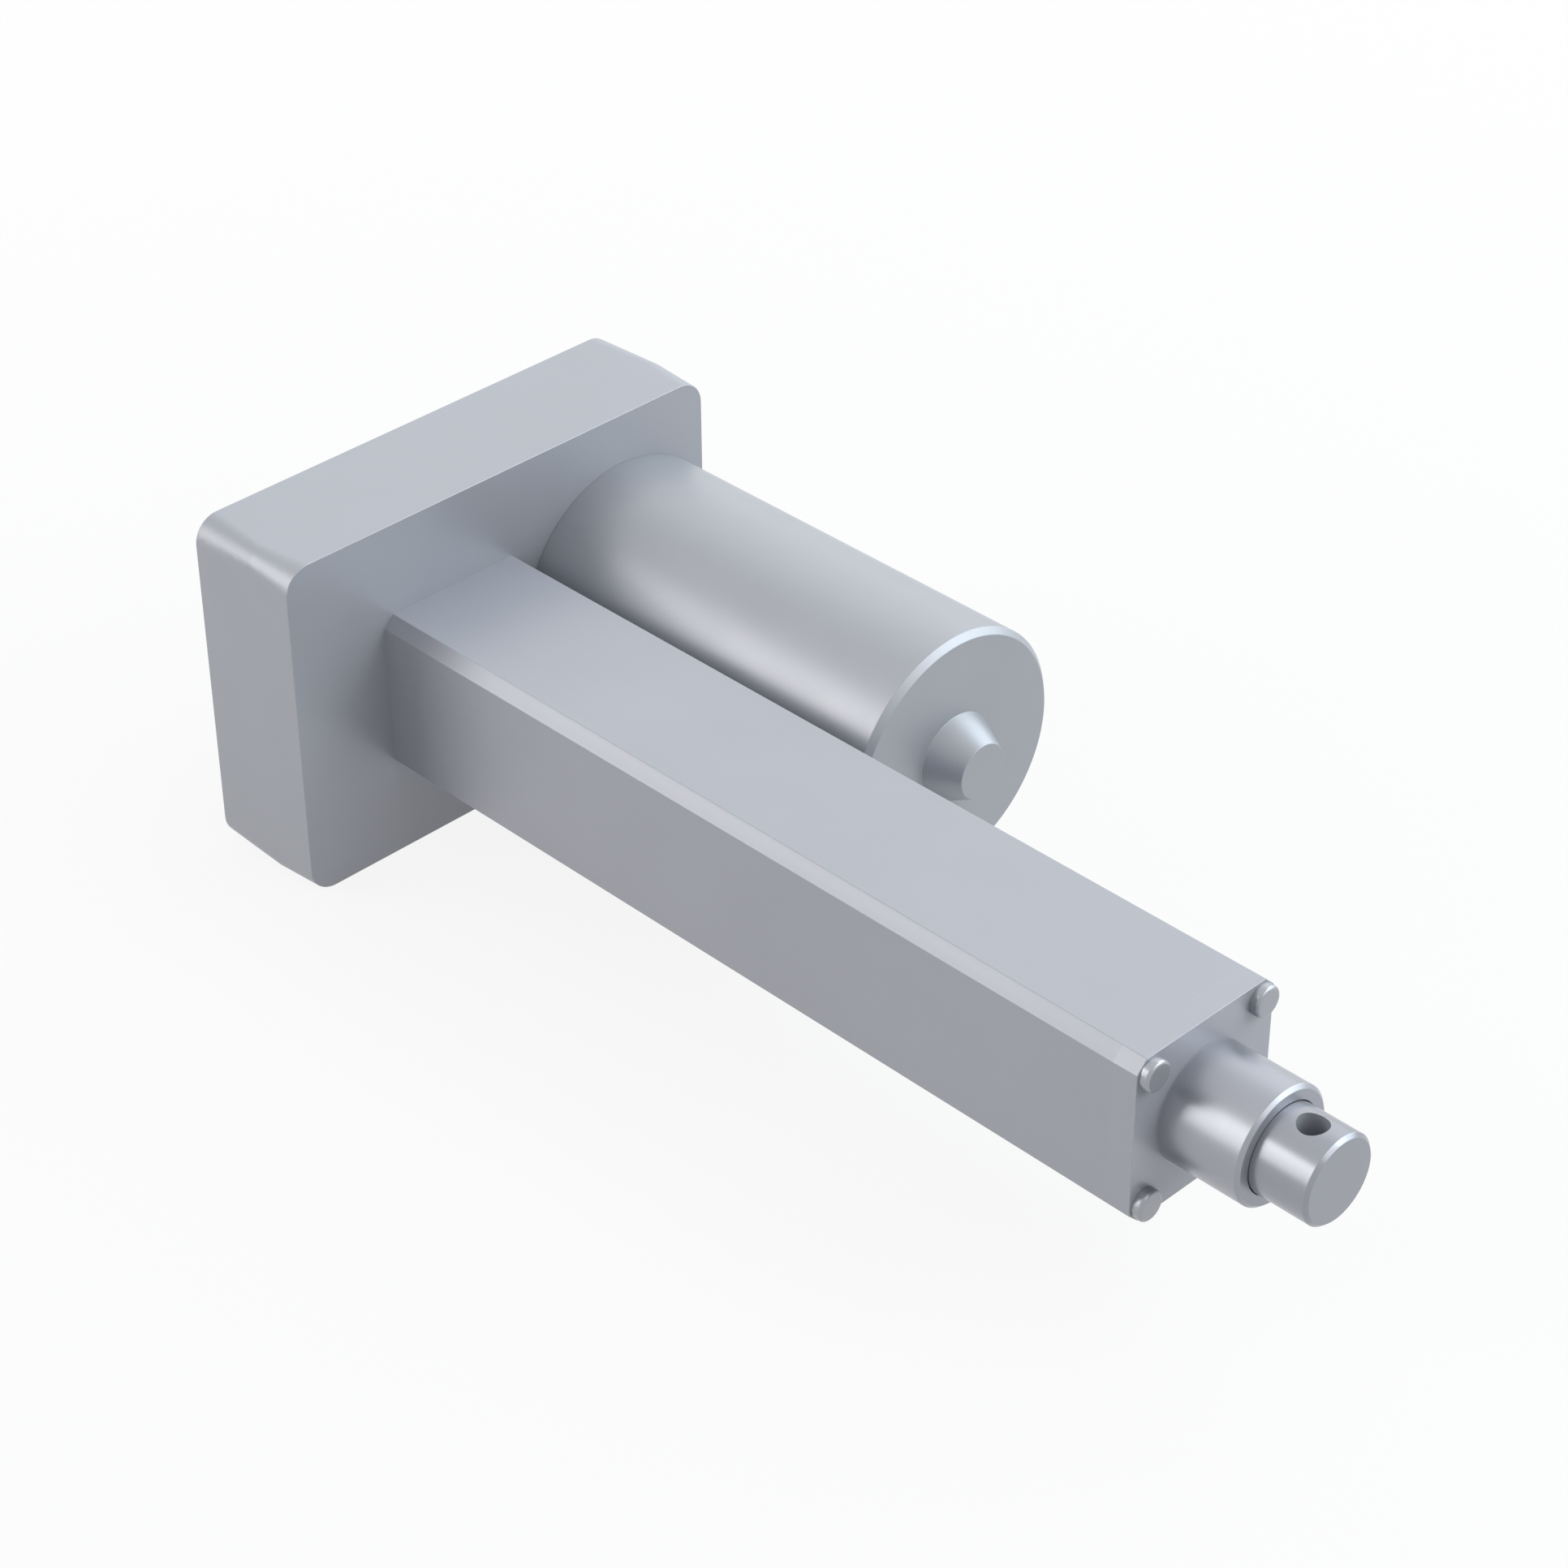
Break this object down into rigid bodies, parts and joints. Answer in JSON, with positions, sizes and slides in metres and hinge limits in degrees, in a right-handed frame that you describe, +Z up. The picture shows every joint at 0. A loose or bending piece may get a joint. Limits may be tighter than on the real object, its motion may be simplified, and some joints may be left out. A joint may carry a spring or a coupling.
{
  "type": "electric linear actuator",
  "caption": "Electric linear actuator: a motor beside a square tube turns a lead screw through a spur gear train, and a round rod slides out to push or pull.",
  "frame": {"origin": "centre of the pin hole in the rear eye, on the screw's axis", "axes": "+X along the screw, the way the rod extends; +Y from the screw to the motor; +Z up, along both pin holes"},
  "size_m": [0.3036, 0.1267, 0.0848],
  "materials": {
    "cast_aluminium": "satin, shot-blasted casting",
    "drawn_aluminium": "satin anodised extrusion",
    "motor_steel": "satin zinc plated",
    "ground_steel": "ground and polished",
    "gear_steel": "machined, oiled",
    "screw_steel": "zinc plated",
    "sheet_steel": "plain rolled sheet",
    "bronze": "machined bronze",
    "copper": "bare copper",
    "enamelled_copper": "enamelled winding wire",
    "ferrite": "ground ferrite",
    "carbon": "pressed carbon",
    "black_nylon": "moulded",
    "white_acetal": "machined",
    "phenolic": "laminated sheet",
    "circuit_board": "lacquered board",
    "lead_insulation": "extruded",
    "black_rubber": "moulded"
  },
  "bodies": {
    "housing": {"rear_cover": "cast_aluminium", "front_gearcase": "cast_aluminium", "housing_seal": "black_rubber", "housing_screws": "screw_steel", "rear_eye": "ground_steel", "rear_eye_screws": "screw_steel", "screw_tail_bush": "bronze", "bearing_outer_ring": "ground_steel", "bearing_retainer": "sheet_steel", "retainer_screws": "screw_steel", "idler_axle": "ground_steel", "idler_washers": "bronze", "outer_tube": "drawn_aluminium", "tube_screws": "screw_steel", "front_end_cap": "cast_aluminium", "end_cap_screws": "screw_steel", "guide_bush": "bronze", "rod_wiper": "black_rubber", "sensor_strip": "circuit_board", "end_sensors": "black_nylon", "motor_can": "motor_steel", "motor_magnets": "ferrite", "motor_end_bell": "cast_aluminium", "motor_screws": "screw_steel", "motor_front_bush": "bronze", "motor_rear_bush": "bronze", "brush_card": "phenolic", "brush_holders": "bronze", "brushes": "carbon", "brush_springs": "screw_steel", "motor_leads": "lead_insulation", "lead_connector": "black_nylon", "cable_grommet": "black_rubber"},
    "rod": {"rod_tube": "ground_steel", "rod_end": "ground_steel", "drive_nut": "bronze", "nut_guide": "white_acetal", "nut_snap_ring": "sheet_steel", "position_magnet": "ferrite"},
    "screw": {"lead_screw": "ground_steel", "gear_key": "gear_steel", "gear_snap_ring": "sheet_steel", "screw_gear": "gear_steel", "gear_spacer": "gear_steel", "bearing_inner_ring": "ground_steel", "screw_end_disc": "white_acetal", "end_disc_screw": "screw_steel"},
    "ball_cage": {"bearing_balls": "ground_steel", "bearing_cage": "black_nylon"},
    "idler": {"idler_gear": "gear_steel"},
    "rotor": {"motor_shaft": "ground_steel", "motor_pinion": "gear_steel", "armature_core": "sheet_steel", "armature_windings": "enamelled_copper", "commutator_hub": "phenolic", "commutator_bars": "copper"}
  },
  "joints": [
    {"name": "rod_slide", "type": "slide", "parent": "housing", "child": "rod", "axis": [1, 0, 0], "range_m": [0, 0.15]},
    {"name": "screw_spin", "type": "hinge", "parent": "housing", "child": "screw", "pos_m": [0.038, 0, 0], "axis": [1, 0, 0], "range_deg": [-18001, 1]},
    {"name": "ball_cage_spin", "type": "hinge", "parent": "housing", "child": "ball_cage", "pos_m": [0.038, 0, 0], "axis": [1, 0, 0], "range_deg": [-6621, 1]},
    {"name": "idler_spin", "type": "hinge", "parent": "housing", "child": "idler", "pos_m": [0.03, 0.03766, 0.01859], "axis": [1, 0, 0], "range_deg": [-10, 90010]},
    {"name": "rotor_spin", "type": "hinge", "parent": "housing", "child": "rotor", "pos_m": [0.1, 0.0512, 0], "axis": [1, 0, 0], "range_deg": [-205735, 20]}
  ],
  "couplings": [
    {"joint": "screw_spin", "follows": "rod_slide", "rad_per_m": -2094.4},
    {"joint": "ball_cage_spin", "follows": "rod_slide", "rad_per_m": -770.28},
    {"joint": "idler_spin", "follows": "rod_slide", "rad_per_m": 10472},
    {"joint": "rotor_spin", "follows": "rod_slide", "rad_per_m": -23936}
  ]
}
